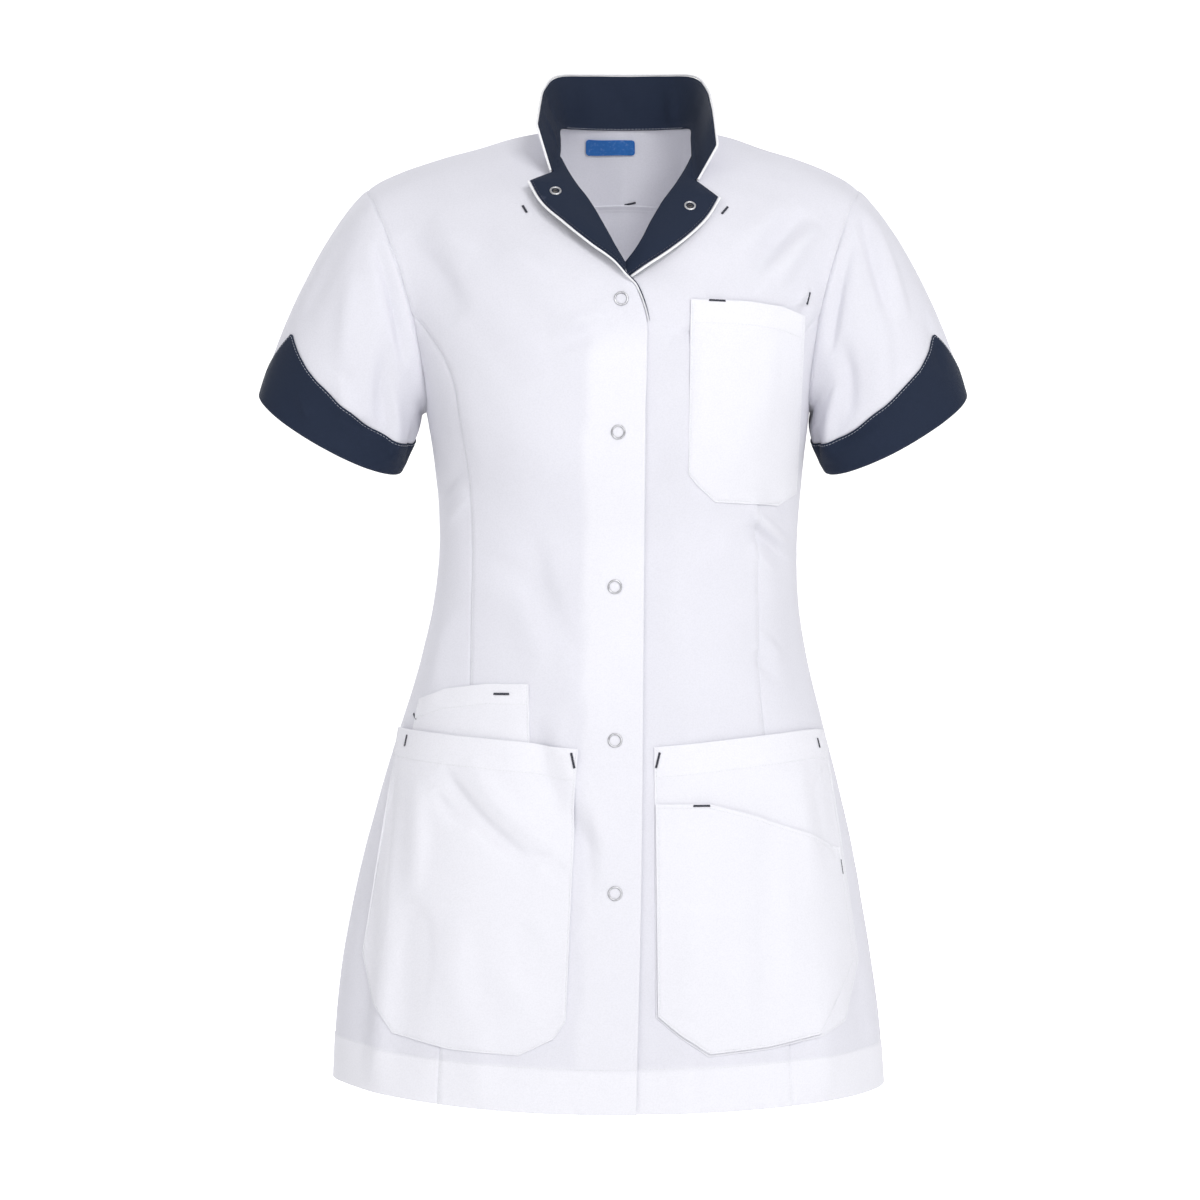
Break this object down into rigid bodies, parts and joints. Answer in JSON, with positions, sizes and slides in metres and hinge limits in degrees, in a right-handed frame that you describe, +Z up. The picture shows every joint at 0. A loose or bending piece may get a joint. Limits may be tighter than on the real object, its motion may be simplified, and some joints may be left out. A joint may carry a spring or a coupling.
{
  "type": "short-sleeved medical jacket, worn form",
  "caption": "Fitted white short-sleeved medical jacket with a navy-lined stand collar, turned lapels, navy cuffs, patch pockets and a snap front, in hollow worn form.",
  "frame": {"origin": "level of the base of the neck on the front-to-back plane of the shoulder tips, where the wearer's neck and shoulders hold the jacket up", "axes": "+Z up, the front faces -Y, +X is towards the wearer's left"},
  "size_m": [0.5292, 0.2586, 0.7723],
  "materials": {
    "white_cloth": "matt twill",
    "navy_cloth": "matt twill",
    "white_piping": "satin cord",
    "bright_steel": "bright",
    "blue_label": "woven, plain"
  },
  "bodies": {
    "root": {"back": "white_cloth", "back_yoke": "white_cloth", "front_right": "white_cloth", "front_left": "white_cloth", "side_front_right": "white_cloth", "side_front_left": "white_cloth", "sleeve_right": "white_cloth", "sleeve_left": "white_cloth", "collar_outer": "white_cloth", "chest_pocket": "white_cloth", "hip_pocket_right": "white_cloth", "hip_pocket_left": "white_cloth", "upper_pocket": "white_cloth", "phone_pocket": "white_cloth", "collar_inner": "navy_cloth", "lapel_right": "navy_cloth", "lapel_left": "navy_cloth", "cuff_right": "navy_cloth", "cuff_left": "navy_cloth", "piping_collar": "white_piping", "piping_lapel_right": "white_piping", "piping_lapel_left": "white_piping", "snap_1": "bright_steel", "snap_2": "bright_steel", "snap_3": "bright_steel", "snap_4": "bright_steel", "snap_5": "bright_steel", "snap_lapel_right": "bright_steel", "snap_lapel_left": "bright_steel", "neck_label": "blue_label"}
  },
  "joints": []
}
